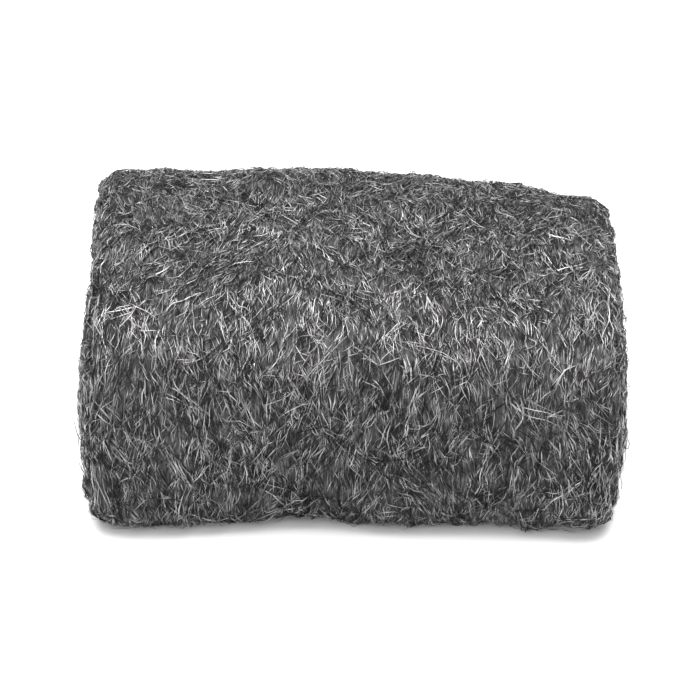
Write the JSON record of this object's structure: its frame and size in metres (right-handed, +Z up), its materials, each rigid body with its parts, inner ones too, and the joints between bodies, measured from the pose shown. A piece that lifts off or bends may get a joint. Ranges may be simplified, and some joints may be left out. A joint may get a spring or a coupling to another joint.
{
  "type": "steel wool pad",
  "caption": "Hand pad of fine steel wool: one ribbon of matted steel fibre wound into a roll and pressed flat, for scouring, rubbing down and polishing.",
  "frame": {"origin": "middle of the footprint, on the surface that the pad rests on", "axes": "+X along the roll, end to end (the longest side); +Y across it, towards the edge where the ribbon's outer end lies; +Z up, through the flattened thickness (the shortest side)"},
  "size_m": [0.1036, 0.0842, 0.043],
  "materials": {
    "steel_wool": "matted fine steel fibre, dull mid grey with small bright glints"
  },
  "bodies": {
    "root": {"steel_wool_pad": "steel_wool"}
  },
  "joints": []
}
